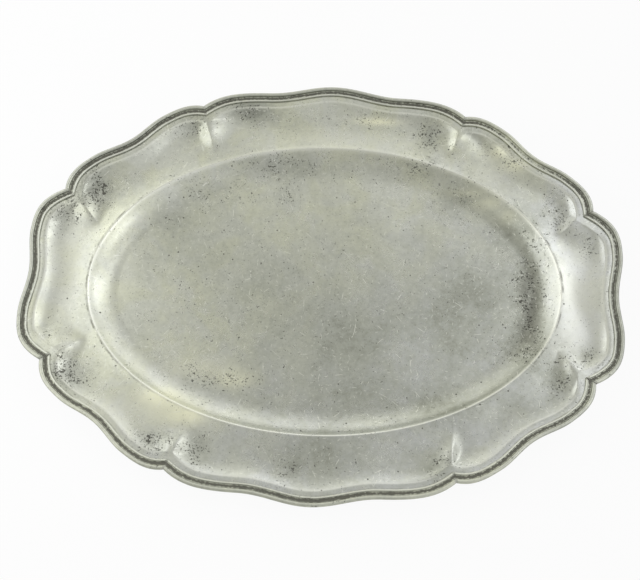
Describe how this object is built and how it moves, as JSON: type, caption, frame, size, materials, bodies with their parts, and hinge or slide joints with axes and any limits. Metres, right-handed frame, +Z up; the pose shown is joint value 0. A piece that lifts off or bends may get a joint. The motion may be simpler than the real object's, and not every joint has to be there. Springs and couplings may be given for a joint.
{
  "type": "pewter platter",
  "caption": "Oval pewter serving platter with a lobed rim, hollowed panels between raised creases, a reeded edge moulding and a flat well.",
  "frame": {"origin": "under the middle of the outline, on the flat underside that the platter rests on", "axes": "+X along the platter's length, +Y across it towards the back, +Z up"},
  "size_m": [0.4338, 0.323, 0.0184],
  "materials": {
    "pewter_dish": "satin",
    "pewter_moulding": "satin",
    "solder": "satin"
  },
  "bodies": {
    "root": {"dish_body": "pewter_dish", "edge_moulding_right": "pewter_moulding", "edge_moulding_back_right": "pewter_moulding", "edge_moulding_back": "pewter_moulding", "edge_moulding_back_left": "pewter_moulding", "edge_moulding_left": "pewter_moulding", "edge_moulding_front_left": "pewter_moulding", "edge_moulding_front": "pewter_moulding", "edge_moulding_front_right": "pewter_moulding", "mitre_solder_right": "solder", "mitre_solder_back_right": "solder", "mitre_solder_back": "solder", "mitre_solder_back_left": "solder", "mitre_solder_left": "solder", "mitre_solder_front_left": "solder", "mitre_solder_front": "solder", "mitre_solder_front_right": "solder", "seam_solder_right": "solder", "seam_solder_back_right": "solder", "seam_solder_back": "solder", "seam_solder_back_left": "solder", "seam_solder_left": "solder", "seam_solder_front_left": "solder", "seam_solder_front": "solder", "seam_solder_front_right": "solder"}
  },
  "joints": []
}
